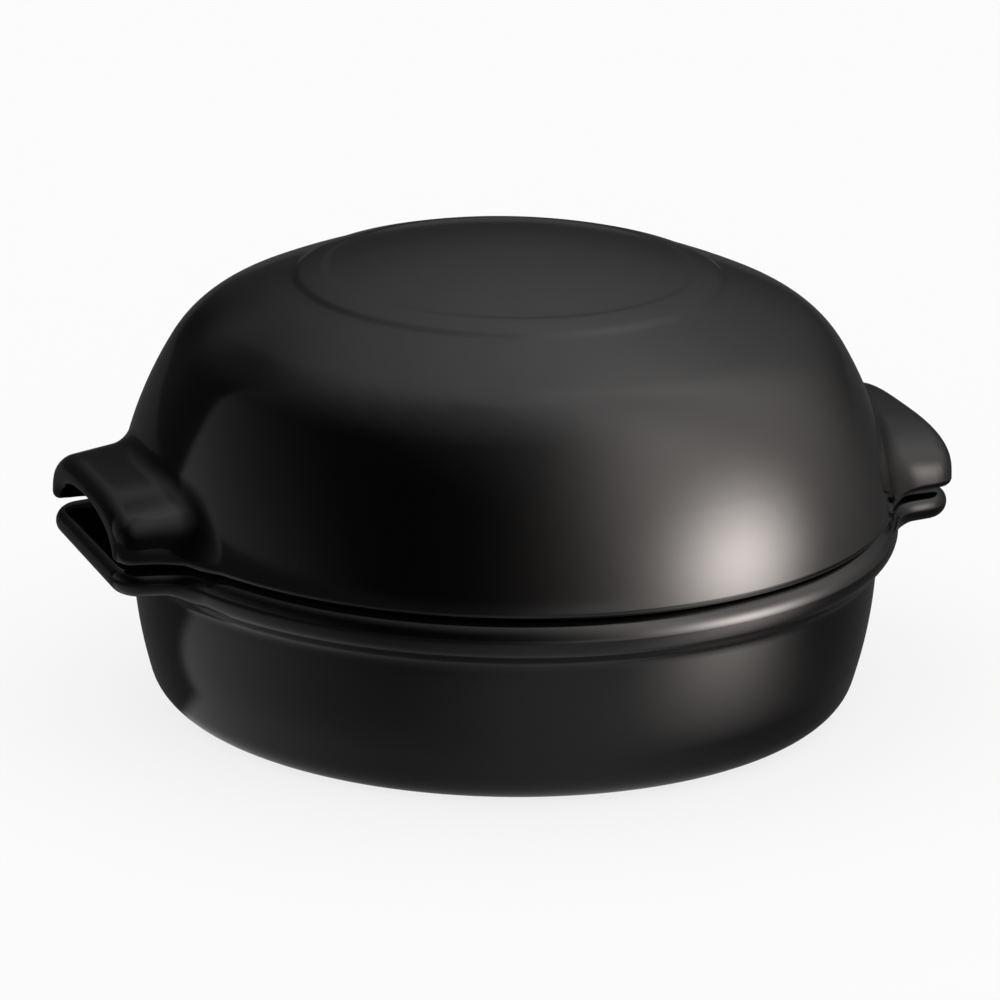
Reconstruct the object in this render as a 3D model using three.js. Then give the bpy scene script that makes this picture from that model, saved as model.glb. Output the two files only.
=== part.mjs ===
// Cheese baker: a round stoneware dish with a domed lid, made to warm one whole soft cheese.
// The dish and the lid are each moulded in one piece with a pair of ears. The dish's ears are
// flat tongues, and the lid's ears are arched hoods that leave room for the fingers above them.
//
// Millimetres, +Z up, ears along X, origin under the middle of the foot.

import * as THREE from 'three';

// Dish: foot, wall and rim

const rimRadius = 87.5; // outside of the rounded bead below the rim
const rimHeight = 44; // table to the flat top of the rim
const beadDepth = 4.5; // how far the bead stands out from the wall
const beadDrop = 9.1; // top of the rim to the underside of the bead
const beadTop = 4.1; // rounding of the bead's upper edge
const beadLow = 5; // rounding of the bead's lower edge
const beadHollow = 3; // hollow where the wall turns out into the bead
const dishBow = 102.5; // radius of the wall's bow, upright at the bead
const dishWall = 5;
const dishFloor = 6.5; // table to the inside of the floor
const footCorner = 8.6; // radius between the wall and the foot
const bowlCorner = 14; // radius between the inside wall and the floor
const rimCorner = 1; // rounding of the rim's inner edge
const footRingWidth = 8; // flat ring that the dish stands on
const footRecess = 1.8; // depth of the underside inside that ring

// Lid: dome, edge and locating lip

const lidInset = 0.9; // lid edge to the outside of the bead
const lidHeight = 58.25; // seat to the top of the crown
const lidDraft = 6.8; // degrees the wall leans in at the seat
const lidBow = 87.2; // radius of the bowed wall
const lidShoulder = 25.1; // radius where the wall turns over
const lidCrown = 152; // radius of the crown
const lidWall = 5.5;
const edgeRound = 1.6; // rounding under the lid's outer edge and the hoods' feet
const edgeLift = 0.35; // the outer edge stands this much clear of the seat
const edgeWidth = 3; // width of the band under the edge that stands clear
const seatGap = 0.3; // between the lid's seat and the rim
const lipClearance = 1; // between the lip and the inside of the rim
const lipDrop = 4; // how far the lip reaches down into the dish
const lipWidth = 4;
const lipRound = 1.2;
const skirtHeight = 12; // the lip has run out into the inside wall at this height above the seat

// Lid: plain round medallion on the crown

const medallionRadius = 47.2;
const medallionHeight = 0.45; // raised ring above the crown
const medallionRing = 6.6; // width of the raised ring
const medallionField = 0.15; // height of the plain field inside the ring
const medallionSlope = 2.4; // width of each soft step

// Ears

const earReach = 10.3; // bead to the end of the ears
const earTaper = 11; // degrees each side of an ear draws in towards its end
const tongueWidth = 52.5; // dish ear, at its end
const tongueThickness = 6.2;
const tongueCorner = 6; // rounding of the dish ear's plan corners
const tongueHollow = 4; // hollow where the dish ear meets the bead
const hoodWidth = 54; // lid ear, at its end
const hoodRise = 12; // height of the hood's crest above its feet, at its end
const hoodSlope = 1.5; // rise of the crest towards the dome
const hoodFullness = 3.25; // 2 is an ellipse across the ear, and more is a squarer arch
const hoodClearance = 1.2; // feet of the hood above the seat
const hoodEdge = 4; // rounding of the hood's outer edge
const crestHollow = 3; // hollow between the hood's crest and the dome
const flankHollow = 7; // hollow between the hood's flanks and the dome
const fingerSpan = 43; // width of the finger room
const fingerHeight = 7.6; // height of the finger room
const fingerBack = 0.6; // the back of the finger room lies this far inside the lid's edge
const fingerCorner = 2; // rounding at the back of the finger room
const bandRound = 1.6; // rounding of the hood's edge round the finger room

// Steps that the curves are divided into

const roundSteps = 48; // round loops
const archSteps = 7; // half of the finger room's arch
const footSteps = 5; // finger room to the ear's corner
const flankSteps = 8; // ear's corner to the plain rim
const sideSteps = 8; // plain rim to the middle of the side
const lidStations = 24; // rows down the lid's walked sections
const dishStations = 16; // rows down the dish's walked sections
const walkStep = 0.3; // step along a section while it is walked
const walkLimit = 2000; // most steps along one section
const settleSteps = 3; // corrections after each step
const probe = 1e-3; // distance over which slopes are measured
const bendGather = 9; // length of section that one radian of bend counts as when rows are shared out

// Worked-out places

const radians = THREE.MathUtils.degToRad;
const lerp = THREE.MathUtils.lerp;
const quarterTurn = Math.PI / 2;

const lidRadius = rimRadius - lidInset;
const earEnd = rimRadius + earReach;
const seatLevel = rimHeight + seatGap;
const hoodFoot = seatLevel + hoodClearance;
const beadLevel = rimHeight - beadDrop;
const beadRootRadius = rimRadius - beadDepth;

// Union of two distances, with a hollow of the given radius where they meet at a right angle
function join(a, b, size) {
  const inner = Math.hypot(Math.max(size - a, 0), Math.max(size - b, 0));
  return Math.max(size, Math.min(a, b)) - inner;
}

// Overlap of two distances, with its edge rounded to the given radius: the union turned inside out
function trim(a, b, size) {
  return -join(-a, -b, size);
}

// Half the width of a tapered ear at a distance along X
function earHalfWidth(x, endWidth) {
  return endWidth / 2 + (earEnd - x) * Math.tan(radians(earTaper));
}

// Angles of the loops that carry ears: close together round the ears, wide apart between them
const fingerAngle = Math.atan2(fingerSpan / 2, earEnd);
const cornerAngle = Math.atan2(Math.max(tongueWidth, hoodWidth) / 2, earEnd);
const plainAngle = cornerAngle + Math.atan2(earReach + Math.max(tongueHollow, flankHollow), rimRadius);

function earAngles() {
  const quarter = [];
  for (let i = 0; i < archSteps; i += 1) {
    quarter.push(fingerAngle * Math.sin((quarterTurn * i) / archSteps));
  }
  const spans = [
    [fingerAngle, cornerAngle, footSteps],
    [cornerAngle, plainAngle, flankSteps],
    [plainAngle, quarterTurn, sideSteps],
  ];
  for (const [from, to, steps] of spans) {
    for (let i = 0; i < steps; i += 1) {
      quarter.push(lerp(from, to, i / steps));
    }
  }
  const half = [...quarter, quarterTurn, ...quarter.slice(1).reverse().map((a) => Math.PI - a)];
  return [...half, ...half.map((a) => a + Math.PI)];
}

const roundAngles = Array.from({ length: roundSteps }, (_, i) => (2 * Math.PI * i) / roundSteps);
const closeAngles = earAngles();

// A closed loop about Z. `at` gives the [radius, height] of the loop at an angle and its index.
function loop(angles, at) {
  const points = angles.map((angle, index) => {
    const [radius, height] = at(angle, index);
    return new THREE.Vector3(radius * Math.cos(angle), radius * Math.sin(angle), height);
  });
  return { angles, points };
}

const roundLoop = ([radius, height]) => loop(roundAngles, () => [radius, height]);

// Walks the section of a surface in the half plane at an angle about Z: a step along the line where
// the distance is zero, square to its slope, then a few steps down the slope back onto that line.
function walkSection(distance, angle, start, heading, finished) {
  const at = (point) => distance(point.x * Math.cos(angle), point.x * Math.sin(angle), point.y);
  const rate = (point, step) => (at(point.clone().add(step)) - at(point.clone().sub(step))) / (2 * probe);
  const slope = (point) =>
    new THREE.Vector2(rate(point, new THREE.Vector2(probe, 0)), rate(point, new THREE.Vector2(0, probe)));

  const points = [];
  let point = start.clone();
  let way = heading;
  do {
    for (let i = 0; i < settleSteps; i += 1) {
      const down = slope(point);
      point.addScaledVector(down, -at(point) / down.lengthSq());
    }
    points.push(point);
    const down = slope(point);
    const along = new THREE.Vector2(down.y, -down.x).normalize();
    way = along.dot(way) < 0 ? along.negate() : along;
    point = point.clone().addScaledVector(way, walkStep);
  } while (!finished(points.at(-1)) && points.length < walkLimit);
  return points;
}

// Divides a walked section into rows by equal shares of its length and its bending
function divideSection(points, rows) {
  const steps = points.slice(1).map((point, i) => point.clone().sub(points[i]));
  const run = [0];
  steps.forEach((step, i) => {
    const bend = i > 0 ? step.angleTo(steps[i - 1]) : 0;
    run.push(run[i] + step.length() + bendGather * bend);
  });
  return Array.from({ length: rows }, (_, row) => {
    const wanted = (run.at(-1) * row) / (rows - 1);
    const next = Math.max(run.findIndex((value) => value >= wanted - probe), 1);
    const share = (wanted - run[next - 1]) / (run[next] - run[next - 1]);
    return points[next - 1].clone().lerp(points[next], share).toArray();
  });
}

// Loops through the rows of a surface's sections, walked at every angle that carries ears
function earLoops(distance, start, heading, finished, rows) {
  const sections = closeAngles.map((angle) =>
    divideSection(walkSection(distance, angle, start, heading, finished), rows),
  );
  return Array.from({ length: rows }, (_, row) => loop(closeAngles, (_angle, index) => sections[index][row]));
}

// Skins a stack of loops between two points on the axis. The section runs from the first point
// outwards over the upper side and back under it, so that the faces point out of the solid.
function skin(firstHeight, loops, lastHeight) {
  const points = [new THREE.Vector3(0, 0, firstHeight)];
  const starts = loops.map((each) => {
    const start = points.length;
    points.push(...each.points);
    return start;
  });
  const last = points.push(new THREE.Vector3(0, 0, lastHeight)) - 1;
  const faces = [];
  const corner = (k, i) => starts[k] + (i % loops[k].angles.length);
  const angleAt = (k, i) => (i < loops[k].angles.length ? loops[k].angles[i] : 2 * Math.PI);

  loops[0].angles.forEach((_, i) => faces.push(0, corner(0, i), corner(0, i + 1)));
  for (let k = 0; k + 1 < loops.length; k += 1) {
    const counts = [loops[k].angles.length, loops[k + 1].angles.length];
    let i = 0;
    let j = 0;
    while (i < counts[0] || j < counts[1]) {
      const upper = i < counts[0] ? angleAt(k, i + 1) : Infinity;
      const lower = j < counts[1] ? angleAt(k + 1, j + 1) : Infinity;
      if (upper <= lower) {
        faces.push(corner(k, i), corner(k + 1, j), corner(k, i + 1));
        i += 1;
      } else {
        faces.push(corner(k, i), corner(k + 1, j), corner(k + 1, j + 1));
        j += 1;
      }
    }
  }
  const end = loops.length - 1;
  loops[end].angles.forEach((_, i) => faces.push(corner(end, i), last, corner(end, i + 1)));

  const geometry = new THREE.BufferGeometry().setFromPoints(points);
  geometry.setIndex(faces);
  geometry.computeVertexNormals();
  return geometry;
}

// Points on an arc in the section: angles are measured from the radial direction, upwards
function arc(centre, radius, from, to, steps) {
  return Array.from({ length: steps + 1 }, (_, i) => {
    const turn = lerp(from, to, i / steps);
    return [centre.x + radius * Math.cos(turn), centre.y + radius * Math.sin(turn)];
  });
}

// Dish

// The wall bows in below the bead, and the inside follows it at the thickness of the wall
const bowCentre = new THREE.Vector2(beadRootRadius - dishBow, beadLevel);
const rimInnerRadius = beadRootRadius - dishWall;

// The corner arc that runs from a flat floor into a bowed wall, and the angle where they meet
function floorCorner(bow, floorLevel, radius) {
  const drop = beadLevel - floorLevel - radius;
  const across = Math.sqrt((bow - radius) ** 2 - drop ** 2);
  const centre = new THREE.Vector2(bowCentre.x + across, floorLevel + radius);
  return { centre, turn: -Math.asin(drop / (bow - radius)) };
}

// The dish's outside as a distance: a bowed wall, a bead and two flat tongues with half round edges
function dishDistance(x, y, z) {
  const out = Math.abs(x);
  const radius = Math.hypot(x, y);
  const bowed = Math.hypot(radius - bowCentre.x, z - beadLevel) - dishBow;
  const wall = Math.max(z < beadLevel ? bowed : radius - beadRootRadius, z - rimHeight);
  const band = trim(radius - rimRadius, z - rimHeight, beadTop);
  const bead = trim(band, beadLevel - z, beadLow);

  const side = (Math.abs(y) - earHalfWidth(out, tongueWidth)) * Math.cos(radians(earTaper));
  const plan = trim(out - earEnd, side, tongueCorner);
  const nose = tongueThickness / 2;
  const tongue = Math.hypot(Math.max(plan + nose, 0), z - rimHeight + nose) - nose;
  return Math.max(join(join(wall, bead, beadHollow), tongue, tongueHollow), z - rimHeight);
}

function dishGeometry() {
  const bowl = floorCorner(dishBow - dishWall, dishFloor, bowlCorner);
  const foot = floorCorner(dishBow, 0, footCorner);
  const rimEdge = new THREE.Vector2(rimInnerRadius + rimCorner, rimHeight - rimCorner);
  const recessRadius = foot.centre.x - footRingWidth;
  const wallTop = beadLevel - tongueHollow;
  const wallTurn = -Math.asin(tongueHollow / dishBow);
  const rimStart = new THREE.Vector2((rimEdge.x + beadRootRadius) / 2, rimHeight);
  const outwards = new THREE.Vector2(1, 0);
  return skin(
    dishFloor,
    [
      ...arc(bowl.centre, bowlCorner, -quarterTurn, bowl.turn, 4).map(roundLoop),
      roundLoop([rimInnerRadius, beadLevel]),
      ...arc(rimEdge, rimCorner, Math.PI, quarterTurn, 2).map(roundLoop),
      ...earLoops(dishDistance, rimStart, outwards, (point) => point.y < wallTop, dishStations),
      ...arc(bowCentre, dishBow, wallTurn, foot.turn, 3).slice(1).map(roundLoop),
      ...arc(foot.centre, footCorner, foot.turn, -quarterTurn, 4).slice(1).map(roundLoop),
      roundLoop([recessRadius, 0]),
      roundLoop([recessRadius - footRecess, footRecess]),
    ],
    footRecess,
  );
}

// Lid

// The dome's outside is three arcs that run into each other: a bowed wall, a shoulder and a
// crown. The inside follows it at the thickness of the wall, from the same centres.
function domeArcs() {
  const lean = radians(lidDraft);
  const wall = new THREE.Vector2(lidRadius - lidBow * Math.cos(lean), seatLevel - lidBow * Math.sin(lean));
  const crown = new THREE.Vector2(0, seatLevel + lidHeight - lidCrown);
  const fromWall = lidBow - lidShoulder;
  const fromCrown = lidCrown - lidShoulder;
  const apart = wall.distanceTo(crown);
  const along = (apart ** 2 + fromWall ** 2 - fromCrown ** 2) / (2 * apart);
  const aside = Math.sqrt(fromWall ** 2 - along ** 2);
  const way = crown.clone().sub(wall).normalize();
  const across = new THREE.Vector2(-way.y, way.x).multiplyScalar(aside);
  const shoulder = wall.clone().addScaledVector(way, along).add(across);
  return {
    wall,
    shoulder,
    crown,
    wallTurn: shoulder.clone().sub(wall).angle(),
    crownTurn: shoulder.clone().sub(crown).angle(),
  };
}

const dome = domeArcs();

// Height of the crown's outside at a radius
const crownLevel = (radius) => dome.crown.y + Math.sqrt(lidCrown ** 2 - radius ** 2);

// Distance to the dome's wall, shoulder or crown, whichever arc stands at this angle
function domeDistance(radius, z) {
  const point = new THREE.Vector2(radius, z);
  const fromWall = point.clone().sub(dome.wall);
  const fromCrown = point.clone().sub(dome.crown);
  if (Math.atan2(fromWall.y, fromWall.x) < dome.wallTurn) return fromWall.length() - lidBow;
  if (Math.atan2(fromCrown.y, fromCrown.x) > dome.crownTurn) return fromCrown.length() - lidCrown;
  return point.distanceTo(dome.shoulder) - lidShoulder;
}

// Distance to an arch across an ear, a superellipse of the given half width and rise. Its value is
// divided by its own slope, so that it measures length near the arch.
function archDistance(y, z, halfWidth, rise, fullness) {
  const across = Math.abs(y) / halfWidth;
  const up = Math.max(z - hoodFoot, 0) / rise;
  const share = Math.max((across ** fullness + up ** fullness) ** (1 / fullness), probe);
  const slope = Math.hypot(
    (across / share) ** (fullness - 1) / halfWidth,
    (up / share) ** (fullness - 1) / rise,
  );
  return (share - 1) / Math.max(slope, probe / halfWidth);
}

// The lid's outside as a distance: the dome joined with the arched hoods, trimmed by the level of
// the seat and the feet and by the finger rooms
function lidDistance(x, y, z) {
  const out = Math.abs(x);
  const radius = Math.hypot(x, y);
  const rise = hoodRise + (hoodSlope * (earEnd - out)) / (earEnd - lidRadius);
  const arch = archDistance(y, z, earHalfWidth(out, hoodWidth), rise, hoodFullness);
  const hood = trim(arch, out - earEnd, hoodEdge);
  const hollow = lerp(flankHollow, crestHollow, THREE.MathUtils.smoothstep(z - hoodFoot, 0, hoodRise));
  const solid = join(domeDistance(radius, z), hood, hollow);

  const overEdge = radius - lidRadius + edgeWidth;
  const edge = edgeLift * THREE.MathUtils.smoothstep(overEdge, 0, edgeWidth);
  const feet = (hoodClearance - edgeLift) * THREE.MathUtils.smoothstep(overEdge, edgeWidth, 2 * edgeWidth);
  const standing = trim(solid, seatLevel + edge + feet - z, edgeRound);

  const opening = archDistance(y, z, fingerSpan / 2, fingerHeight, 2);
  const room = trim(opening, lidRadius - fingerBack - radius, fingerCorner);
  return trim(standing, -room, bandRound);
}

// Raised ring and plain field of the medallion, from the middle outwards
function medallionProfile() {
  const inner = medallionRadius - medallionRing;
  const half = medallionSlope / 2;
  const steps = [
    [inner / 2, medallionField],
    [inner - half, medallionField],
    [inner + half, medallionHeight],
    [medallionRadius - half, medallionHeight],
    [medallionRadius + half, 0],
  ];
  return steps.map(([radius, rise]) => [radius, crownLevel(radius) + rise]);
}

// Locating lip under the seat, from its outside round to its inside
const lipRadius = rimInnerRadius - lipClearance;

function lipProfile() {
  const bottom = seatLevel - lipDrop;
  const outerCentre = new THREE.Vector2(lipRadius - lipRound, bottom + lipRound);
  const innerCentre = new THREE.Vector2(lipRadius - lipWidth + lipRound, bottom + lipRound);
  return [
    [lipRadius, seatLevel],
    ...arc(outerCentre, lipRound, 0, -quarterTurn, 2),
    ...arc(innerCentre, lipRound, -quarterTurn, -Math.PI, 2),
  ];
}

function lidGeometry() {
  const medallionTurn = Math.acos((medallionRadius + medallionSlope / 2) / lidCrown);
  const skirtTurn = Math.asin((seatLevel + skirtHeight - dome.wall.y) / (lidBow - lidWall));
  const walkTurn = lerp(dome.wallTurn, dome.crownTurn, 1 / 3);
  const walkStart = new THREE.Vector2(lidShoulder, 0).rotateAround(new THREE.Vector2(), walkTurn);
  const downwards = new THREE.Vector2(0, -1);
  const seatMiddle = (lidRadius + lipRadius) / 2;
  const onSeat = (point) => point.x < seatMiddle && point.y < hoodFoot;
  return skin(
    seatLevel + lidHeight + medallionField,
    [
      ...medallionProfile().map(roundLoop),
      ...arc(dome.crown, lidCrown, medallionTurn, dome.crownTurn, 2).slice(1).map(roundLoop),
      ...arc(dome.shoulder, lidShoulder, dome.crownTurn, walkTurn, 3).slice(1, -1).map(roundLoop),
      ...earLoops(lidDistance, walkStart.add(dome.shoulder), downwards, onSeat, lidStations),
      ...lipProfile().map(roundLoop),
      ...arc(dome.wall, lidBow - lidWall, skirtTurn, dome.wallTurn, 2).map(roundLoop),
      ...arc(dome.shoulder, lidShoulder - lidWall, dome.wallTurn, dome.crownTurn, 4).slice(1).map(roundLoop),
      ...arc(dome.crown, lidCrown - lidWall, dome.crownTurn, quarterTurn, 3).slice(1, -1).map(roundLoop),
    ],
    seatLevel + lidHeight - lidWall,
  );
}

// Assembly

const glaze = { color: 0x2b2828, roughness: 0.22, metalness: 0 };

function piece(name, geometry) {
  const mesh = new THREE.Mesh(geometry, new THREE.MeshStandardMaterial(glaze));
  mesh.name = name;
  return mesh;
}

const cheeseBaker = new THREE.Group();
cheeseBaker.add(piece('base_dish', dishGeometry()), piece('lid', lidGeometry()));

export default cheeseBaker;
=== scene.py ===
"""Looks of a glazed stoneware cheese baker: a low dish with flat ears under a domed lid with arched ears.

Both pieces are surfaces of sections through the Z axis. Along the ears the sections follow a blended
distance: the dome, the hood and the finger room are each a distance, joined with round hollows and
trimmed with round edges, and the surface is where the result is zero. Metres, +Z up, ears along X.
"""

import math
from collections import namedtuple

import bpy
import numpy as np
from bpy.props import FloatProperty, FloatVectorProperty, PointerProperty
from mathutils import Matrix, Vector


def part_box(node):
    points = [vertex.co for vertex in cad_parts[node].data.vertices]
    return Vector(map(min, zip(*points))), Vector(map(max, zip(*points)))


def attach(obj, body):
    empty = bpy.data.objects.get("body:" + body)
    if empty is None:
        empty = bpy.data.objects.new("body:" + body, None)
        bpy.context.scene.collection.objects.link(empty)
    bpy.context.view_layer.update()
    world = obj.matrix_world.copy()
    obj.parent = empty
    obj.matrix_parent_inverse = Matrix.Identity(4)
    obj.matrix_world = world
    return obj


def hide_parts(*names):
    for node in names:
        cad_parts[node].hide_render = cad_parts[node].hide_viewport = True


bl_info = {
    "name": "Cheese baker",
    "version": (1, 0, 0),
    "blender": (4, 5, 0),
    "location": "3D View > Sidebar > Baker",
    "description": "Makes the glazed dish and lid of a cheese baker, and a studio to show them in",
    "category": "Object",
}

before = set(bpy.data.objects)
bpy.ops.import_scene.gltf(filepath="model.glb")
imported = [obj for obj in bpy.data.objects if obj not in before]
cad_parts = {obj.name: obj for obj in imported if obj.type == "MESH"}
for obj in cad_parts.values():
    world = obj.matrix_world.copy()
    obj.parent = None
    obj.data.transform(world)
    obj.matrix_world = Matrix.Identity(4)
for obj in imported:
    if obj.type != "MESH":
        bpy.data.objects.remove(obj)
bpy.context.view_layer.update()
DISH_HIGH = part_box("base_dish")[1]

MM = 0.001

# Fineness of the surfaces

EAR_SPREAD = math.radians(28)  # angle about Z, either side of X, that the fine columns cover
EAR_COLUMNS = 116
SIDE_COLUMNS = 54
STRIDE = 0.3 * MM  # step along a section while it is walked
STRIDES = 260  # steps that reach past the end of the longest section
PROBE = 1e-6  # distance over which slopes are measured
SETTLE = 3  # corrections after each step
DISH_ROWS = 110  # rows kept of the dish's walked sections
LID_ROWS = 120  # rows kept of the lid's walked sections
WALK_DEPTH = 20 * MM  # depth under the rim where the dish's walked sections end
WALK_INSIDE = 5 * MM  # distance inside the lid's edge where its walked sections end
WALK_OVER_SEAT = 2 * MM  # height over the seat below which they may end
GATHER = 6 * MM  # length of section that takes as many rows as a bend of one radian
SMOOTHING = 9  # width of the bell that evens out the bends, in strides
DISH_HUB = 6 * MM  # radius of the innermost rows of the dish
LID_HUB = 4 * MM  # radius of the innermost row of the lid


# Settings


def length(name, description, metres):
    """A size in metres."""
    return FloatProperty(
        name=name, description=description, default=metres, min=0, unit="LENGTH", precision=4
    )


def turn(name, description, degrees):
    """An angle, given in degrees and kept in radians."""
    radians = math.radians(degrees)
    return FloatProperty(
        name=name, description=description, default=radians, unit="ROTATION", subtype="ANGLE"
    )


def number(name, description, value):
    """A plain number that isn't negative."""
    return FloatProperty(name=name, description=description, default=value, min=0)


def colour(name, description, value):
    """A colour as red, green and blue."""
    return FloatVectorProperty(
        name=name, description=description, default=value, size=3, min=0, max=1, subtype="COLOR"
    )


class DishSizes(bpy.types.PropertyGroup):
    rim_radius: length("Rim radius", "Outside of the bead", DISH_HIGH[1])
    rim_height: length("Rim height", "Table to the flat top of the rim", DISH_HIGH[2])
    bead_depth: length("Bead depth", "How far the bead stands out from the wall", 4.5 * MM)
    bead_drop: length("Bead drop", "Top of the rim to the underside of the bead", 9.1 * MM)
    bead_top: length("Bead top", "Rounding of the bead's upper edge", 4.1 * MM)
    bead_low: length("Bead low", "Rounding of the bead's lower edge", 5 * MM)
    bead_hollow: length("Bead hollow", "Hollow where the wall turns out into the bead", 3 * MM)
    bow: length("Wall bow", "Radius of the wall's bow", 102.5 * MM)
    wall: length("Wall", "Thickness of the wall", 5 * MM)
    floor: length("Floor", "Table to the inside of the floor", 6.5 * MM)
    foot_corner: length("Foot corner", "Radius between the wall and the foot", 8.6 * MM)
    bowl_corner: length("Bowl corner", "Radius between the inside wall and the floor", 14 * MM)
    rim_corner: length("Rim corner", "Rounding of the rim's inner edge", 1 * MM)
    foot_ring: length("Foot ring", "Width of the flat ring that the dish stands on", 8 * MM)
    foot_recess: length("Foot recess", "Depth of the underside inside the foot ring", 1.8 * MM)


class LidSizes(bpy.types.PropertyGroup):
    inset: length("Inset", "Lid edge to the outside of the bead", 0.9 * MM)
    height: length("Height", "Seat to the top of the crown", 58.25 * MM)
    draft: turn("Draft", "Lean of the wall at the seat", 6.8)
    bow: length("Wall bow", "Radius of the bowed wall", 87.2 * MM)
    shoulder: length("Shoulder", "Radius where the wall turns over", 25.1 * MM)
    crown: length("Crown", "Radius of the crown", 152 * MM)
    wall: length("Wall", "Thickness of the wall", 5.5 * MM)
    edge_lift: length("Edge lift", "The outer edge stands this much clear of the seat", 0.35 * MM)
    edge_width: length("Edge width", "Width over which the edge lifts, and then the feet rise", 3 * MM)
    seat_gap: length("Seat gap", "Between the lid's seat and the rim", 0.3 * MM)
    lip_clearance: length("Lip clearance", "Between the lip and the inside of the rim", 1 * MM)
    lip_drop: length("Lip drop", "How far the lip reaches down into the dish", 4 * MM)
    lip_width: length("Lip width", "Thickness of the lip", 4 * MM)
    lip_round: length("Lip round", "Rounding of the lip's edges", 1.2 * MM)
    skirt: length("Skirt", "Height above the seat where the lip has run out into the wall", 12 * MM)
    medallion: length("Medallion", "Radius of the round medallion", 47.2 * MM)
    ring_height: length("Ring height", "Raised ring above the crown", 0.45 * MM)
    ring_width: length("Ring width", "Width of the raised ring", 6.6 * MM)
    field_height: length("Field height", "Plain field inside the ring above the crown", 0.15 * MM)
    ring_slope: length("Ring slope", "Width of each soft step of the ring", 2.4 * MM)


class EarSizes(bpy.types.PropertyGroup):
    end: length("End", "Middle of the baker to the end of the ears", DISH_HIGH[0])
    taper: turn("Taper", "How much each side of an ear draws in towards its end", 11)
    tongue_width: length("Tongue width", "Dish ear at its end", 52.5 * MM)
    tongue_thickness: length("Tongue thickness", "Thickness of the dish ear", 6.2 * MM)
    tongue_corner: length("Tongue corner", "Plan corners of the dish ear", 6 * MM)
    tongue_hollow: length("Tongue hollow", "Hollow where the dish ear meets the bead", 4 * MM)
    hood_width: length("Hood width", "Lid ear at its end", 54 * MM)
    hood_rise: length("Hood rise", "Height of the hood's crest above its feet, at its end", 12 * MM)
    hood_slope: length("Hood slope", "Rise of the crest towards the dome", 1.5 * MM)
    hood_fullness: number("Hood fullness", "2 is an ellipse across the ear, and more is squarer", 3.25)
    hood_clearance: length("Hood clearance", "Feet of the hood above the seat", 1.2 * MM)
    hood_edge: length("Hood edge", "Rounding of the hood's outer edge", 4 * MM)
    crest_hollow: length("Crest hollow", "Hollow between the hood's crest and the dome", 3 * MM)
    flank_hollow: length("Flank hollow", "Hollow between the hood's flanks and the dome", 7 * MM)
    foot_round: length("Foot round", "Rounding of the hood's feet and the lid's edge", 1.6 * MM)
    finger_span: length("Finger span", "Width of the finger room", 43 * MM)
    finger_height: length("Finger height", "Height of the finger room", 7.6 * MM)
    finger_back: length("Finger back", "The room's back lies this far inside the lid's edge", 0.6 * MM)
    finger_corner: length("Finger corner", "Rounding at the back of the finger room", 2 * MM)
    band_round: length("Band round", "Rounding of the hood's edge round the finger room", 1.6 * MM)


class GlazeColours(bpy.types.PropertyGroup):
    deep: colour("Deep glaze", "Colour where the glaze lies thick", (0.0007, 0.0006, 0.0006))
    thin: colour("Thin glaze", "Colour where the glaze runs thin over edges", (0.003, 0.0024, 0.0021))
    clay: colour("Clay", "Bare stoneware of the foot ring", (0.36, 0.27, 0.2))
    floor: colour("Floor", "Plain floor under the baker", (0.9, 0.9, 0.9))


class StudioSizes(bpy.types.PropertyGroup):
    distance: length("Distance", "Camera to the middle of the baker", 1.35)
    azimuth: turn("Azimuth", "Camera about Z, from the front", -20.4)
    elevation: turn("Elevation", "Camera above the horizon", 17.75)
    roll: turn("Roll", "Camera about its own axis", 1.09)
    aim_height: length("Aim height", "Height that the camera looks at", 52.1 * MM)
    lens: FloatProperty(
        name="Lens", description="Focal length on a 36 mm sensor", default=218.7, unit="CAMERA"
    )
    shift_right: FloatProperty(
        name="Shift right", description="Lens shift to the right, as a share of the width", default=-0.0061
    )
    shift_up: FloatProperty(
        name="Shift up", description="Lens shift upwards, as a share of the width", default=-0.0384
    )


# Distances and how they meet


def join(a, b, size):
    """Union of two distances, with a hollow of radius `size` where they meet at a right angle:
    the larger of the size and the nearer one, less how far both reach inside the size."""
    inner = np.hypot(np.maximum(size - a, 0), np.maximum(size - b, 0))
    return np.maximum(size, np.minimum(a, b)) - inner


def trim(a, b, size):
    """Overlap of two distances, with its edge rounded to `size`: the union turned inside out."""
    return -join(-a, -b, size)


def ease(share):
    """Smooth step from 0 to 1: 3t² - 2t³."""
    t = np.clip(share, 0, 1)
    return t * t * (3 - 2 * t)


def arc(centre, radius, start, end, steps):
    """Points on an arc of the section, as [radius, height] rows, angles from the radial direction up."""
    angles = np.linspace(start, end, steps + 1)
    return np.stack([centre[0] + radius * np.cos(angles), centre[1] + radius * np.sin(angles)], -1)


def level(start, end, height, count):
    """Points on a level line of the section, as [radius, height] rows."""
    return np.stack([np.linspace(start, end, count), np.full(count, height)], -1)


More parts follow.
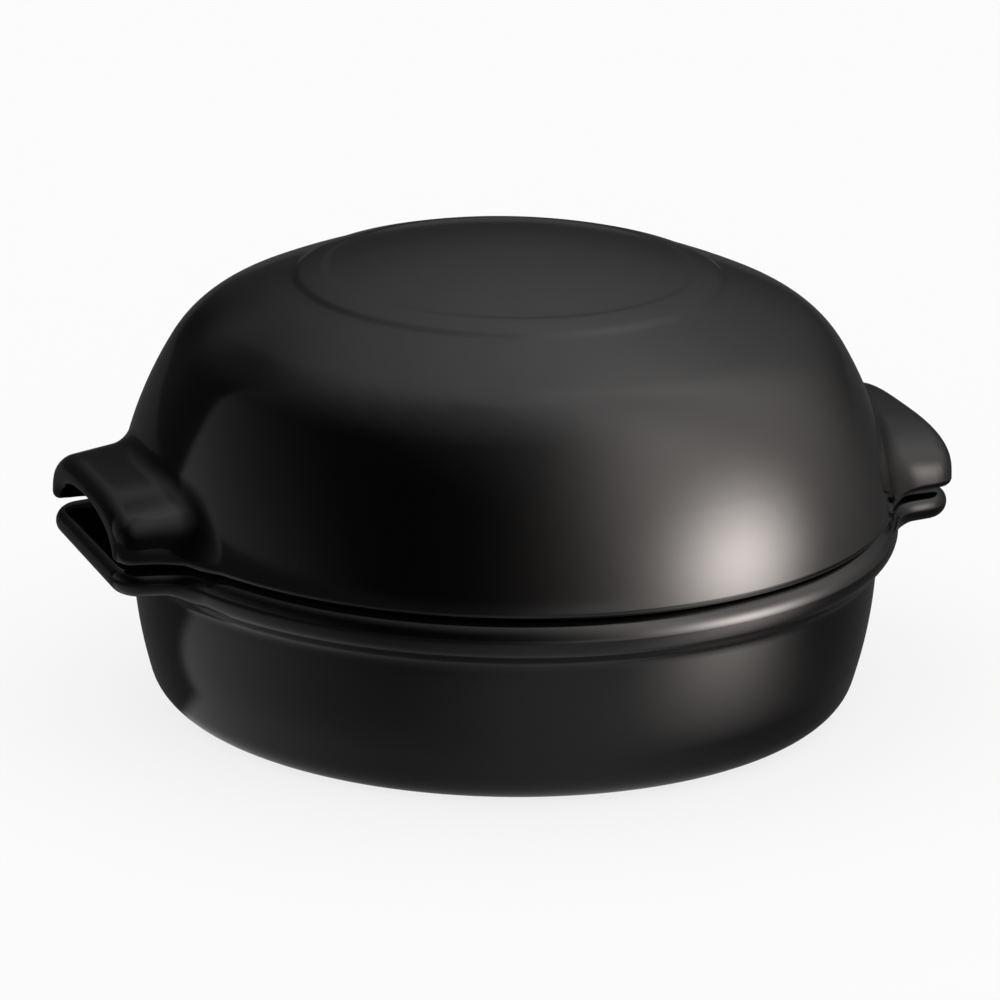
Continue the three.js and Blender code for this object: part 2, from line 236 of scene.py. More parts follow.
class DishShape:
    """The dish's outside as one distance: a bowed wall, a bead and two flat tongues."""

    def __init__(self, dish, ear):
        self.dish, self.ear = dish, ear
        self.rim = dish.rim_height
        self.bead_level = dish.rim_height - dish.bead_drop
        self.root = dish.rim_radius - dish.bead_depth
        self.bow_centre = np.array([self.root - dish.bow, self.bead_level])
        self.inner = self.root - dish.wall

    def distance(self, x, y, z):
        """Wall: distance to the bow below the bead and to a cylinder above. Bead: a cylinder trimmed
        by two levels. Tongue: a plan outline trimmed from end and sides, with a half round edge."""
        dish, ear = self.dish, self.ear
        x = np.abs(x)
        r = np.hypot(x, y)
        bowed = np.hypot(r - self.bow_centre[0], z - self.bead_level) - dish.bow
        wall = np.maximum(np.where(z < self.bead_level, bowed, r - self.root), z - self.rim)
        bead = trim(r - dish.rim_radius, z - self.rim, dish.bead_top)
        bead = trim(bead, self.bead_level - z, dish.bead_low)
        half = ear.tongue_width / 2 + (ear.end - x) * math.tan(ear.taper)
        plan = trim(x - ear.end, (np.abs(y) - half) * math.cos(ear.taper), ear.tongue_corner)
        nose = ear.tongue_thickness / 2
        tongue = np.hypot(np.maximum(plan + nose, 0), z - self.rim + nose) - nose
        solid = join(join(wall, bead, dish.bead_hollow), tongue, ear.tongue_hollow)
        return np.maximum(solid, z - self.rim)

    def corner(self, bow, level, radius):
        """Centre of the round corner between a flat floor and a bowed wall, and the angle where it ends."""
        drop = self.bead_level - level - radius
        across = self.bow_centre[0] + math.sqrt((bow - radius) ** 2 - drop**2)
        return (across, level + radius), -math.asin(drop / (bow - radius))


class LidShape:
    """The lid's outside as one distance: a dome of three arcs, two hoods and their finger rooms."""

    def __init__(self, dish, lid, ear):
        self.lid, self.ear = lid, ear
        self.radius = dish.rim_radius - lid.inset
        self.seat = dish.rim_height + lid.seat_gap
        self.foot = self.seat + ear.hood_clearance
        self.top = self.seat + lid.height
        self.wall_centre = np.array(
            [self.radius - lid.bow * math.cos(lid.draft), self.seat - lid.bow * math.sin(lid.draft)]
        )
        self.crown_centre = np.array([0, self.top - lid.crown])
        from_wall = lid.bow - lid.shoulder
        from_crown = lid.crown - lid.shoulder
        gap = self.crown_centre - self.wall_centre
        apart = math.hypot(*gap)
        along = (apart**2 + from_wall**2 - from_crown**2) / (2 * apart)
        aside = math.sqrt(from_wall**2 - along**2)
        way = gap / apart
        self.shoulder_centre = self.wall_centre + way * along + np.array([-way[1], way[0]]) * aside
        self.wall_turn = math.atan2(*(self.shoulder_centre - self.wall_centre)[::-1])
        self.crown_turn = math.atan2(*(self.shoulder_centre - self.crown_centre)[::-1])

    def dome(self, r, z):
        """Distance to the wall's arc, the shoulder's or the crown's, whichever stands at this angle."""
        lid = self.lid
        to_wall = [r - self.wall_centre[0], z - self.wall_centre[1]]
        to_crown = [r, z - self.crown_centre[1]]
        shoulder = np.hypot(r - self.shoulder_centre[0], z - self.shoulder_centre[1]) - lid.shoulder
        past_crown = np.arctan2(to_crown[1], to_crown[0]) > self.crown_turn
        upper = np.where(past_crown, np.hypot(*to_crown) - lid.crown, shoulder)
        on_wall = np.arctan2(to_wall[1], to_wall[0]) < self.wall_turn
        return np.where(on_wall, np.hypot(*to_wall) - lid.bow, upper)

    def arch(self, y, z, half, rise, fullness):
        """Distance to a full arch over the ear: the superellipse (y/half)^n + (z/rise)^n = 1, whose
        value is divided by its own slope so that it measures length."""
        across = np.abs(y) / half
        up = np.maximum(z - self.foot, 0) / rise
        share = np.maximum((across**fullness + up**fullness) ** (1 / fullness), 1e-3)
        slope = np.hypot((across / share) ** (fullness - 1) / half, (up / share) ** (fullness - 1) / rise)
        return (share - 1) / np.maximum(slope, 1e-3 / half)

    def distance(self, x, y, z):
        """Dome joined with the arched hood, trimmed by the level of the feet and by the finger room."""
        lid, ear = self.lid, self.ear
        x = np.abs(x)
        r = np.hypot(x, y)
        inward = ear.end - x
        half = ear.hood_width / 2 + inward * math.tan(ear.taper)
        rise = ear.hood_rise + ear.hood_slope * inward / (ear.end - self.radius)
        hood = trim(self.arch(y, z, half, rise, ear.hood_fullness), -inward, ear.hood_edge)
        high = ease((z - self.foot) / ear.hood_rise)
        hollow = ear.flank_hollow + (ear.crest_hollow - ear.flank_hollow) * high
        solid = join(self.dome(r, z), hood, hollow)
        over_edge = r - self.radius + lid.edge_width
        edge = lid.edge_lift * ease(over_edge / lid.edge_width)
        feet = (ear.hood_clearance - lid.edge_lift) * ease((over_edge - lid.edge_width) / lid.edge_width)
        solid = trim(solid, self.seat + edge + feet - z, ear.foot_round)
        room = self.arch(y, z, ear.finger_span / 2, ear.finger_height, 2)
        room = trim(room, self.radius - ear.finger_back - r, ear.finger_corner)
        return trim(solid, -room, ear.band_round)


# Sections about the axis


def column_angles():
    """Angles about Z: close together over both ears and wide apart between them."""
    ear = np.linspace(-EAR_SPREAD, EAR_SPREAD, EAR_COLUMNS, endpoint=False)
    side = np.linspace(EAR_SPREAD, math.pi - EAR_SPREAD, SIDE_COLUMNS, endpoint=False)
    half = np.concatenate([ear, side])
    return np.concatenate([half, half + math.pi])


def walk(distance, angles, start, heading, strides):
    """Follows the line where the distance is zero in every half plane about Z at once: a step along
    the line, square to the slope, then a few steps down the slope back onto it."""
    cosine, sine = np.cos(angles), np.sin(angles)

    def at(points):
        return distance(points[:, 0] * cosine, points[:, 0] * sine, points[:, 1])

    def slope(points):
        sides = [at(points + step) - at(points - step) for step in ([PROBE, 0], [0, PROBE])]
        return np.stack(sides, 1) / (2 * PROBE)

    points = np.tile(np.array(start, float), (len(angles), 1))
    way = np.tile(np.array(heading, float), (len(angles), 1))
    path = []
    for _ in range(strides):
        for _ in range(SETTLE):
            down = slope(points)
            points = points - down * (at(points) / np.maximum((down**2).sum(1), 1e-9))[:, None]
        path.append(points)
        down = slope(points)
        along = np.stack([down[:, 1], -down[:, 0]], 1)
        along /= np.linalg.norm(along, axis=1)[:, None] + 1e-12
        way = along * np.sign((along * way).sum(1))[:, None]
        points = points + way * STRIDE
    return np.array(path)


def stations(path, done, count, gather):
    """Divides every walked line into equal shares of its length plus `gather` times its turning, so
    that the rows lie closer together where the section bends."""
    stop = np.where(done.any(0), np.argmax(done, 0), len(path) - 1)
    steps = np.diff(path, axis=0)
    heading = np.unwrap(np.arctan2(steps[..., 1], steps[..., 0]), axis=0)
    turning = np.abs(np.diff(heading, axis=0, prepend=heading[:1]))
    bell = np.hanning(SMOOTHING)[1:-1]
    turning = np.apply_along_axis(np.convolve, 0, turning, bell / bell.sum(), "same")
    cost = np.hypot(steps[..., 0], steps[..., 1]) + gather * turning
    run = np.concatenate([np.zeros((1, path.shape[1])), np.cumsum(cost, 0)])
    total = np.take_along_axis(run, stop[None], 0)
    offset = np.arange(path.shape[1]) * (run.max() * 2)
    wanted = np.linspace(0, 1, count)[:, None] * total + offset
    known = (run + offset).T.ravel()
    picked = [np.interp(wanted, known, path[..., axis].T.ravel()) for axis in (0, 1)]
    return np.stack(picked, -1)


def rings(profile, columns):
    """A plain section, repeated for every column."""
    return np.repeat(np.asarray(profile)[:, None, :], columns, 1)


def shell(name, sections, angles, first_height, last_height):
    """Closed mesh of sections about Z: row i, column j stands at (r cos a, r sin a, z), and a point on
    the axis closes each end."""
    rows, columns = sections.shape[:2]
    grid = np.stack(
        [sections[..., 0] * np.cos(angles), sections[..., 0] * np.sin(angles), sections[..., 1]], -1
    )
    poles = [[0, 0, first_height], [0, 0, last_height]]
    points = np.concatenate([grid.reshape(-1, 3), poles])
    i, j = np.meshgrid(np.arange(rows - 1), np.arange(columns), indexing="ij")
    after = (j + 1) % columns
    upper, lower = i * columns, (i + 1) * columns
    quads = np.stack([upper + j, lower + j, lower + after, upper + after], -1)
    ring = np.arange(columns)
    beside = (ring + 1) % columns
    last = (rows - 1) * columns
    caps = [
        np.stack([np.full(columns, rows * columns), ring, beside], -1),
        np.stack([last + ring, np.full(columns, rows * columns + 1), last + beside], -1),
    ]
    faces = quads.reshape(-1, 4).tolist() + np.concatenate(caps).tolist()
    mesh = bpy.data.meshes.new(name)
    mesh.from_pydata(points.tolist(), [], faces)
    mesh.shade_smooth()
    mesh.validate()
    piece = bpy.data.objects.new(name, mesh)
    bpy.context.scene.collection.objects.link(piece)
    return piece


# Pieces


def dish_sections(shape, angles):
    """Bowl and rim as plain arcs, the bead and ears walked, the wall and foot as arcs again."""
    dish = shape.dish
    bowl, bowl_turn = shape.corner(dish.bow - dish.wall, dish.floor, dish.bowl_corner)
    foot, foot_turn = shape.corner(dish.bow, 0, dish.foot_corner)
    rim_edge = (shape.inner + dish.rim_corner, shape.rim - dish.rim_corner)
    recess = foot[0] - dish.foot_ring
    step = dish.foot_recess / 2
    start = (rim_edge[0] + dish.rim_corner, shape.rim)
    path = walk(shape.distance, angles, start, (1, 0), STRIDES)
    below = shape.rim - WALK_DEPTH
    walked = stations(path, path[..., 1] < below, DISH_ROWS, GATHER)
    joint = -math.asin((shape.bead_level - below) / dish.bow)
    inside = np.concatenate(
        [
            level(DISH_HUB, bowl[0], dish.floor, 8)[:-1],
            arc(bowl, dish.bowl_corner, -math.pi / 2, bowl_turn, 12),
            arc(shape.bow_centre, dish.bow - dish.wall, bowl_turn, 0, 6)[1:],
            [[shape.inner, (shape.bead_level + rim_edge[1]) / 2]],
            arc(rim_edge, dish.rim_corner, math.pi, math.pi / 2, 6),
        ]
    )
    outside = np.concatenate(
        [
            arc(shape.bow_centre, dish.bow, joint, foot_turn, 8)[1:],
            arc(foot, dish.foot_corner, foot_turn, -math.pi / 2, 12)[1:],
            [[foot[0] - dish.foot_ring * 0.1, 0], [recess + dish.foot_ring * 0.1, 0]],
            arc((recess, step), step, -math.pi / 2, -math.pi, 5),
            arc((recess - 2 * step, step), step, 0, math.pi / 2, 5)[1:],
            level(recess - 4 * step, DISH_HUB, dish.foot_recess, 8),
        ]
    )
    columns = len(angles)
    return np.concatenate([rings(inside, columns), walked, rings(outside, columns)])


def lid_sections(shape, dish_inner, angles):
    """Crown with its medallion, shoulder and upper wall as arcs, the hoods and edge walked, then the lip
    and the inside as arcs at the thickness of the wall."""
    lid, ear = shape.lid, shape.ear
    shoulder, crown, wall = shape.shoulder_centre, shape.crown_centre, shape.wall_centre
    shoulder_start = crown[0] + lid.crown * math.cos(shape.crown_turn)
    inner_ring = lid.medallion - lid.ring_width
    half = lid.ring_slope / 2
    radii = np.concatenate(
        [
            np.linspace(LID_HUB, inner_ring - half, 10),
            np.linspace(inner_ring - half, inner_ring + half, 8)[1:],
            np.linspace(inner_ring + half, lid.medallion - half, 5)[1:],
            np.linspace(lid.medallion - half, lid.medallion + half, 8)[1:],
            np.linspace(lid.medallion + half, shoulder_start, 6)[1:],
        ]
    )
    raised = ease((radii - inner_ring + half) / lid.ring_slope) * (lid.ring_height - lid.field_height)
    fallen = ease((radii - lid.medallion + half) / lid.ring_slope) * lid.ring_height
    rise = lid.field_height + raised - fallen
    top = np.stack([radii, crown[1] + np.sqrt(lid.crown**2 - radii**2) + rise], -1)

    clear = shape.foot + ear.hood_rise + ear.hood_slope + 2 * ear.crest_hollow
    begin = math.asin((clear - wall[1]) / lid.bow)
    start = wall + lid.bow * np.array([math.cos(begin), math.sin(begin)])
    path = walk(shape.distance, angles, start, (0, -1), STRIDES)
    inside = path[..., 0] < shape.radius - WALK_INSIDE
    low = path[..., 1] < shape.seat + WALK_OVER_SEAT
    walked = stations(path, inside & low, LID_ROWS, GATHER)

    outer = dish_inner - lid.lip_clearance
    bottom = shape.seat - lid.lip_drop
    skirt_turn = math.asin((shape.seat + lid.skirt - wall[1]) / (lid.bow - lid.wall))
    corner = lid.lip_round
    lower = np.concatenate(
        [
            [[outer + lid.lip_round / 2, shape.seat], [outer, shape.seat - lid.lip_round / 2]],
            arc((outer - corner, bottom + corner), corner, 0, -math.pi / 2, 5),
            arc((outer - lid.lip_width + corner, bottom + corner), corner, -math.pi / 2, -math.pi, 5),
            arc(wall, lid.bow - lid.wall, skirt_turn, shape.wall_turn, 6),
            arc(shoulder, lid.shoulder - lid.wall, shape.wall_turn, shape.crown_turn, 10)[1:],
            arc(crown, lid.crown - lid.wall, shape.crown_turn, math.pi / 2, 10)[1:-1],
        ]
    )
    columns = len(angles)
    upper = np.concatenate(
        [
            top,
            arc(shoulder, lid.shoulder, shape.crown_turn, shape.wall_turn, 12)[1:],
            arc(wall, lid.bow, shape.wall_turn, begin, 6)[1:-1],
        ]
    )
    return np.concatenate([rings(upper, columns), walked, rings(lower, columns)])


# Glaze

REFRACTION = 1.5
CLOUD_SCALE = 35
CLOUD_DETAIL = 4
CLOUD_SHARE = 0.45  # most of the thin colour that a cloud takes
GLOSS_SCALE = 60
GLOSS_RANGE = (0.09, 0.15)  # roughness of the glaze
CLAY_ROUGHER = 0.6  # roughness that the bare clay adds
SWELL_SCALE = 70
SWELL_STRENGTH = 0.12
SWELL_HEIGHT = 0.4 * MM
BARE_HEIGHT = 0.1 * MM  # height above the table up to which the foot is wiped bare


def glaze_material(colours, name, bare_below):
    """Charcoal glaze over stoneware: deep and smooth, with faint clouding, a gentle swell in its gloss and
    bare clay where the height is below `bare_below`."""
    material = bpy.data.materials.new(name)
    material.use_nodes = True
    tree = material.node_tree
    shader = tree.nodes["Principled BSDF"]
    shader.inputs["IOR"].default_value = REFRACTION
    place = tree.nodes.new("ShaderNodeTexCoord")

    def noise(scale, detail=2):
        node = tree.nodes.new("ShaderNodeTexNoise")
        node.inputs["Scale"].default_value = scale
        node.inputs["Detail"].default_value = detail
        tree.links.new(place.outputs["Object"], node.inputs["Vector"])
        return node.outputs["Fac"]

    def scaled(value, low, high):
        node = tree.nodes.new("ShaderNodeMapRange")
        node.inputs["To Min"].default_value = low
        node.inputs["To Max"].default_value = high
        tree.links.new(value, node.inputs["Value"])
        return node.outputs["Result"]

    def mixed(share, first, second):
        node = tree.nodes.new("ShaderNodeMix")
        node.data_type = "RGBA"
        tree.links.new(share, node.inputs["Factor"])
        for socket, value in ((node.inputs[6], first), (node.inputs[7], second)):
            if isinstance(value, bpy.types.NodeSocket):
                tree.links.new(value, socket)
            else:
                socket.default_value = (*value, 1)
        return node.outputs[2]

    cloud = scaled(noise(CLOUD_SCALE, CLOUD_DETAIL), 0, CLOUD_SHARE)
    glaze = mixed(cloud, colours.deep, colours.thin)
    parts = tree.nodes.new("ShaderNodeSeparateXYZ")
    tree.links.new(place.outputs["Object"], parts.inputs["Vector"])
    bare = tree.nodes.new("ShaderNodeMath")
    bare.operation = "LESS_THAN"
    bare.inputs[1].default_value = bare_below
    tree.links.new(parts.outputs["Z"], bare.inputs[0])
    tree.links.new(mixed(bare.outputs["Value"], glaze, colours.clay), shader.inputs["Base Color"])

    gloss = scaled(noise(GLOSS_SCALE), *GLOSS_RANGE)
    matt = tree.nodes.new("ShaderNodeMath")
    matt.operation = "MULTIPLY_ADD"
    matt.inputs[1].default_value = CLAY_ROUGHER
    tree.links.new(bare.outputs["Value"], matt.inputs[0])
    tree.links.new(gloss, matt.inputs[2])
    tree.links.new(matt.outputs["Value"], shader.inputs["Roughness"])

    swell = tree.nodes.new("ShaderNodeBump")
    swell.inputs["Strength"].default_value = SWELL_STRENGTH
    swell.inputs["Distance"].default_value = SWELL_HEIGHT
    tree.links.new(noise(SWELL_SCALE), swell.inputs["Height"])
    tree.links.new(swell.outputs["Normal"], shader.inputs["Normal"])
    return material


class BAKER_OT_dish(bpy.types.Operator):
    """Makes the glazed dish with its bead, foot ring and flat ears"""

    bl_idname = "baker.dish"
    bl_label = "Dish"

    def execute(self, context):
        settings = context.scene
        angles = column_angles()
        shape = DishShape(settings.baker_dish, settings.baker_ears)
        sections = dish_sections(shape, angles)
        piece = shell("dish_glazed", sections, angles, shape.dish.floor, shape.dish.foot_recess)
        piece.data.materials.append(glaze_material(settings.baker_colours, "dish_glaze", BARE_HEIGHT))
        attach(piece, "dish")
        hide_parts("base_dish")
        return {"FINISHED"}


class BAKER_OT_lid(bpy.types.Operator):
    """Makes the glazed lid with its medallion, arched ears and locating lip"""

    bl_idname = "baker.lid"
    bl_label = "Lid"

    def execute(self, context):
        settings = context.scene
        angles = column_angles()
        dish = DishShape(settings.baker_dish, settings.baker_ears)
        shape = LidShape(settings.baker_dish, settings.baker_lid, settings.baker_ears)
        lid = settings.baker_lid
        sections = lid_sections(shape, dish.inner, angles)
        piece = shell("lid_glazed", sections, angles, shape.top + lid.field_height, shape.top - lid.wall)
        piece.data.materials.append(glaze_material(settings.baker_colours, "lid_glaze", 0))
        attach(piece, "cover")
        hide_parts("lid")
        return {"FINISHED"}


# Studio

# A soft patch of light or net: its level in the middle, and its middle and spread in degrees across,
# counted to the right from the camera's side, and in degrees up.
Patch = namedtuple("Patch", "level across breadth up height")

HOT_SPOT = Patch(13, 58.8, 11, 1.6, 8.9)
TALL_GLOW = Patch(2.26, 47.2, 17.7, 18.8, 28.3)
SIDE_GLOW = Patch(1, 86, 17, 30, 27.9)
BACK_GLOW = Patch(0.4, 145, 25, 60, 11)
NET_BEHIND_EAR = Patch(0.6, -124, 8, 20, 11)
NET_OVER_EAR = Patch(0.6, -94, 18, 41, 8)

WARM = (1, 0.925, 0.89)  # tint of the light on the right
WHITE = (1, 1, 1)
NET_BLACK = (0.005, 0.005, 0.005)
KEY_DISTANCE = 0.22
CARD_START = 0.088  # the floor card's inner edge, from the middle of the baker
CARD_END = 0.213  # its outer edge, at the foot of the key light
PANEL_DISTANCE = 2.5
NET_DISTANCE = 2.6
NEAR_NET_DISTANCE = 0.125
NET_START = 0.05  # inner edge of the net on the floor
NET_LIFT = 0.4 * MM  # net above the floor
CARD_LIFT = 0.8 * MM  # card above the floor
SCREEN_STEP = 3.0  # degrees between the points of a screen
FLOOR_SIZE = 12
FLOOR_LIFT = 0.8  # share of plain white in the floor where it is seen
SENSOR = 36  # width of the camera's sensor in millimetres


def place_camera(studio):
    """Camera at the azimuth and elevation, looking at the middle of the baker, then rolled."""
    data = bpy.data.cameras.new("camera")
    data.lens = studio.lens
    data.sensor_width = SENSOR
    data.shift_x = studio.shift_right
    data.shift_y = studio.shift_up
    camera = bpy.data.objects.new("camera", data)
    bpy.context.scene.collection.objects.link(camera)
    flat = math.cos(studio.elevation)
    rise = math.sin(studio.elevation)
    back = Vector((math.sin(studio.azimuth) * flat, -math.cos(studio.azimuth) * flat, rise))
    aim = Vector((0, 0, studio.aim_height))
    turned = (-back).to_track_quat("-Z", "Y").to_matrix().to_4x4() @ Matrix.Rotation(studio.roll, 4, "Z")
    camera.matrix_world = Matrix.Translation(aim + back * studio.distance) @ turned
    bpy.context.scene.camera = camera


def sheet(name, points, material):
    """Open sheet over a grid of points, for lights and cloths that only the glaze mirrors."""
    rows, columns = points.shape[:2]
    i, j = np.meshgrid(np.arange(rows - 1), np.arange(columns - 1), indexing="ij")
    corner = i * columns + j
    faces = np.stack([corner, corner + columns, corner + columns + 1, corner + 1], -1)
    mesh = bpy.data.meshes.new(name)
    mesh.from_pydata(points.reshape(-1, 3).tolist(), [], faces.reshape(-1, 4).tolist())
    mesh.materials.append(material)
    made = bpy.data.objects.new(name, mesh)
    bpy.context.scene.collection.objects.link(made)
    made.visible_camera = False
    made.visible_diffuse = False
    made.visible_shadow = False
    return made


def screen(name, start, end, low, high, distance, material):
    """Part of a sphere round the baker between two angles across, counted to the right from the camera's
    side, and two angles up. Returns it with both angles of its points."""
    studio = bpy.context.scene.baker_studio
    across, up = np.meshgrid(np.arange(start, end + 1, SCREEN_STEP), np.arange(low, high + 1, SCREEN_STEP))
    turned = np.radians(across) + studio.azimuth
    flat = distance * np.cos(np.radians(up))
    height = studio.aim_height + distance * np.sin(np.radians(up))
    points = np.stack([flat * np.sin(turned), -flat * np.cos(turned), height], -1)
    return sheet(name, points, material), across, up


def mat(name, start, end, near, far, height, columns, rows, material):
    """Part of a ring lying just over the floor between two angles across and two distances from the
    middle, which grow evenly in proportion. Returns it with the angle and distance of its points."""
    studio = bpy.context.scene.baker_studio
    across, away = np.meshgrid(np.linspace(start, end, columns), np.geomspace(near, far, rows))
    turned = np.radians(across) + studio.azimuth
    points = np.stack([away * np.sin(turned), -away * np.cos(turned), np.full_like(away, height)], -1)
    return sheet(name, points, material), across, away


def keep_values(made, name, values):
    """Keeps a number for each point of a sheet, row by row."""
    attribute = made.data.attributes.new(name, "FLOAT", "POINT")
    attribute.data.foreach_set("value", values.ravel())


def apart(across, middle):
    """Angle between two directions across, the short way round."""
    return (across - middle + 180) % 360 - 180


def bump_of(values, middle, width):
    """Bell curve: 1 at the middle, falling off over the width."""
    return np.exp(-0.5 * ((values - middle) / width) ** 2)


def patch_of(patch, across, up):
    """Level of a soft patch: its middle level times a bell curve across and one up."""
    side = bump_of(across, patch.across, patch.breadth)
    return patch.level * side * bump_of(up, patch.up, patch.height)


def sheet_material(name, attribute_name):
    """Material of a see-through sheet, with the sheet's own number for each point: returns the material,
    the number's socket and the clear shader."""
    material = bpy.data.materials.new(name)
    material.use_nodes = True
    material.cycles.emission_sampling = "NONE"
    tree = material.node_tree
    tree.nodes.remove(tree.nodes["Principled BSDF"])
    amount = tree.nodes.new("ShaderNodeAttribute")
    amount.attribute_name = attribute_name
    return material, amount.outputs["Fac"], tree.nodes.new("ShaderNodeBsdfTransparent")


def light_material(name, tint):
    """Clear sheet that adds light: the glow of each point is its brightness."""
    material, amount, clear = sheet_material(name, "glow")
    tree = material.node_tree
    light = tree.nodes.new("ShaderNodeEmission")
    light.inputs["Color"].default_value = (*tint, 1)
    tree.links.new(amount, light.inputs["Strength"])
    both = tree.nodes.new("ShaderNodeAddShader")
    tree.links.new(clear.outputs["BSDF"], both.inputs[0])
    tree.links.new(light.outputs["Emission"], both.inputs[1])
    tree.links.new(both.outputs["Shader"], tree.nodes["Material Output"].inputs["Surface"])
    return material


def cloth_material(name):
    """Black net that holds light back: the cover of each point is how close its weave is."""
    material, amount, clear = sheet_material(name, "cover")
    tree = material.node_tree
    black = tree.nodes.new("ShaderNodeBsdfDiffuse")
    black.inputs["Color"].default_value = (*NET_BLACK, 1)
    woven = tree.nodes.new("ShaderNodeMixShader")
    tree.links.new(amount, woven.inputs["Fac"])
    tree.links.new(clear.outputs["BSDF"], woven.inputs[1])
    tree.links.new(black.outputs["BSDF"], woven.inputs[2])
    tree.links.new(woven.outputs["Shader"], tree.nodes["Material Output"].inputs["Surface"])
    return material


def seen_directly(tree):
    """1 for rays of the camera, of gloss and of glass, and 0 for the rest."""
    path = tree.nodes.new("ShaderNodeLightPath")
    shares = [path.outputs[name] for name in ("Is Camera Ray", "Is Glossy Ray", "Is Transmission Ray")]
    total = shares[0]
    for share in shares[1:]:
        larger = tree.nodes.new("ShaderNodeMath")
        larger.operation = "MAXIMUM"
        tree.links.new(total, larger.inputs[0])
        tree.links.new(share, larger.inputs[1])
        total = larger.outputs["Value"]
    return total


def make_world():
    """Even white surroundings."""
    world = bpy.data.worlds.new("studio")
    bpy.context.scene.world = world
    world.use_nodes = True
    even = world.node_tree.nodes["Background"]
    even.inputs["Color"].default_value = (1, 1, 1, 1)
    even.inputs["Strength"].default_value = 1


def make_floor(tint):
    """Pale floor that takes the baker's shadow and is lifted towards white where it is seen."""
    bpy.ops.mesh.primitive_plane_add(size=FLOOR_SIZE)
    floor = bpy.context.object
    floor.name = "floor"
    material = bpy.data.materials.new("floor")
    material.use_nodes = True
    tree = material.node_tree
    paint = tree.nodes["Principled BSDF"]
    paint.inputs["Base Color"].default_value = (*tint, 1)
    paint.inputs["Roughness"].default_value = 0.9
    white = tree.nodes.new("ShaderNodeEmission")
    white.inputs["Color"].default_value = (1, 1, 1, 1)
    white.inputs["Strength"].default_value = 1
    lift = tree.nodes.new("ShaderNodeMath")
    lift.operation = "MULTIPLY"
    lift.inputs[1].default_value = FLOOR_LIFT
    tree.links.new(seen_directly(tree), lift.inputs[0])
    either = tree.nodes.new("ShaderNodeMixShader")
    tree.links.new(lift.outputs["Value"], either.inputs["Fac"])
    tree.links.new(paint.outputs["BSDF"], either.inputs[1])
    tree.links.new(white.outputs["Emission"], either.inputs[2])
    tree.links.new(either.outputs["Shader"], tree.nodes["Material Output"].inputs["Surface"])
    floor.data.materials.append(material)


def make_cloths():
    """Black nets. One hangs round the baker, closest on the camera's left and open overhead. A small one
    leans over the left ear. One lies on the floor, open in front and more so in a strip on the left."""
    hung, across, up = screen("hung_net", -180, 180, -2, 88, NET_DISTANCE, cloth_material("hung_net"))
    left = bump_of(apart(across, -55), 0, 67)
    half_open = 40 + 39 * left
    opened = ease((up - half_open) / 94 + 0.5)
    keep_values(hung, "cover", (0.95 + 0.05 * left) * (1 - opened))

    near, across, up = screen("near_net", -160, -40, -2, 70, NEAR_NET_DISTANCE, cloth_material("near_net"))
    behind = patch_of(NET_BEHIND_EAR, across, up)
    keep_values(near, "cover", np.maximum(behind, patch_of(NET_OVER_EAR, across, up)))

    net = cloth_material("laid_net")
    laid, across, away = mat("laid_net", -180, 180, NET_START, NET_DISTANCE, NET_LIFT, 361, 161, net)
    # The strip's left edge swings 16 degrees inwards close to the foot.
    edge = 16 * np.exp(-np.maximum(away - 0.09, 0) / 0.012) - 82
    far = ease((away - 0.12) / 0.12)
    strip = 0.4 * ease((across - edge + 4) / 6) * (1 - ease((across - edge) / 72)) * (1 - far)
    front = 0.36 * bump_of(across, 14 + 10 * far, 20 - 8 * far)
    keep_values(laid, "cover", 0.93 - strip - front)


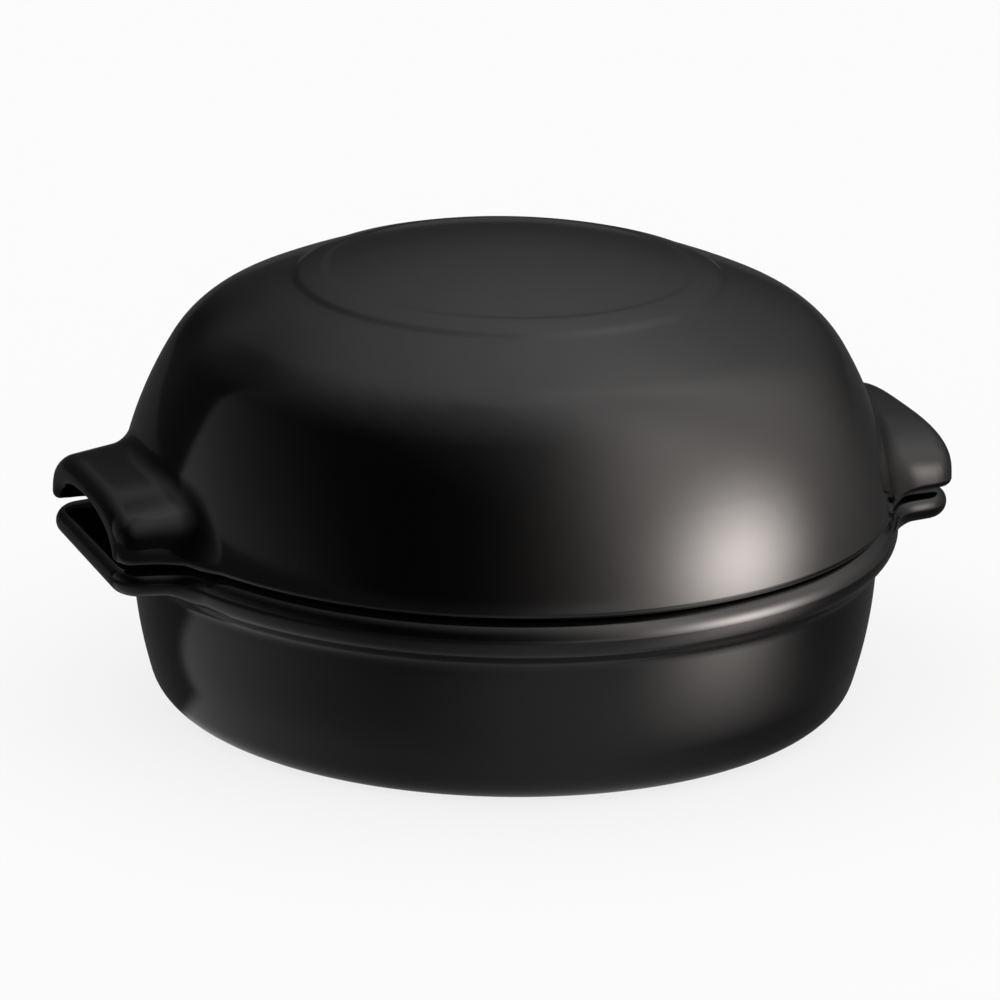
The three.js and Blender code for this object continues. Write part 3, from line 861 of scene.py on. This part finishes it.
def make_lights():
    """A soft light that stands close on the right and is brightest near the floor, with a card that leads
    from its foot to the baker, a weaker light high at the back and a dim panel on the left."""
    soft = light_material("key_light", WARM)
    key, across, up = screen("key_light", -30, 180, -13, 88, KEY_DISTANCE, soft)
    glows = [patch_of(patch, across, up) for patch in (HOT_SPOT, TALL_GLOW, SIDE_GLOW)]
    keep_values(key, "glow", sum(glows))

    shine = light_material("floor_card", WARM)
    card, across, away = mat("floor_card", -10, 150, CARD_START, CARD_END, CARD_LIFT, 54, 41, shine)
    beyond = away - CARD_START
    # The card's bright middle turns from 42 degrees at the foot towards the hot spot.
    middle = 42 + 26 * (1 - np.exp(-beyond / 0.12))
    bright = 3.4 * (1 - np.exp(-beyond / 0.05))
    keep_values(card, "glow", bright * bump_of(across, middle, 11))

    weak = light_material("back_light", WARM)
    back, across, up = screen("back_light", 60, 240, 20, 88, PANEL_DISTANCE, weak)
    keep_values(back, "glow", patch_of(BACK_GLOW, across, up))

    dim = light_material("left_panel", WHITE)
    panel, across, up = screen("left_panel", -112, -28, -2, 52, PANEL_DISTANCE, dim)
    inwards = 1 - ease((across + 114) / 86)
    keep_values(panel, "glow", 0.42 * inwards * np.clip(1 - up / 52, 0, 1) ** 2)


class BAKER_OT_studio(bpy.types.Operator):
    """Makes the floor, the light and the camera"""

    bl_idname = "baker.studio"
    bl_label = "Studio"

    def execute(self, context):
        settings = context.scene
        settings.view_settings.view_transform = "Standard"
        place_camera(settings.baker_studio)
        make_floor(settings.baker_colours.floor)
        make_world()
        make_cloths()
        make_lights()
        return {"FINISHED"}


class BAKER_PT_sidebar(bpy.types.Panel):
    """Lists the pieces of the baker"""

    bl_idname = "BAKER_PT_sidebar"
    bl_label = "Cheese baker"
    bl_space_type = "VIEW_3D"
    bl_region_type = "UI"
    bl_category = "Baker"

    def draw(self, context):
        for operator in OPERATORS:
            self.layout.operator(operator.bl_idname)
        for holder in HOLDERS:
            settings = getattr(context.scene, holder)
            box = self.layout.box()
            for name in settings.bl_rna.properties.keys():
                if name not in ("rna_type", "name"):
                    box.prop(settings, name)


OPERATORS = (BAKER_OT_dish, BAKER_OT_lid, BAKER_OT_studio)
HOLDERS = {
    "baker_dish": DishSizes,
    "baker_lid": LidSizes,
    "baker_ears": EarSizes,
    "baker_colours": GlazeColours,
    "baker_studio": StudioSizes,
}
CLASSES = (*HOLDERS.values(), *OPERATORS, BAKER_PT_sidebar)


def register():
    for each in CLASSES:
        bpy.utils.register_class(each)
    for holder, group in HOLDERS.items():
        setattr(bpy.types.Scene, holder, PointerProperty(type=group))


def unregister():
    for holder in HOLDERS:
        delattr(bpy.types.Scene, holder)
    for each in reversed(CLASSES):
        bpy.utils.unregister_class(each)


def main():
    register()
    bpy.ops.baker.dish()
    bpy.ops.baker.lid()
    bpy.ops.baker.studio()


if __name__ == "__main__":
    main()
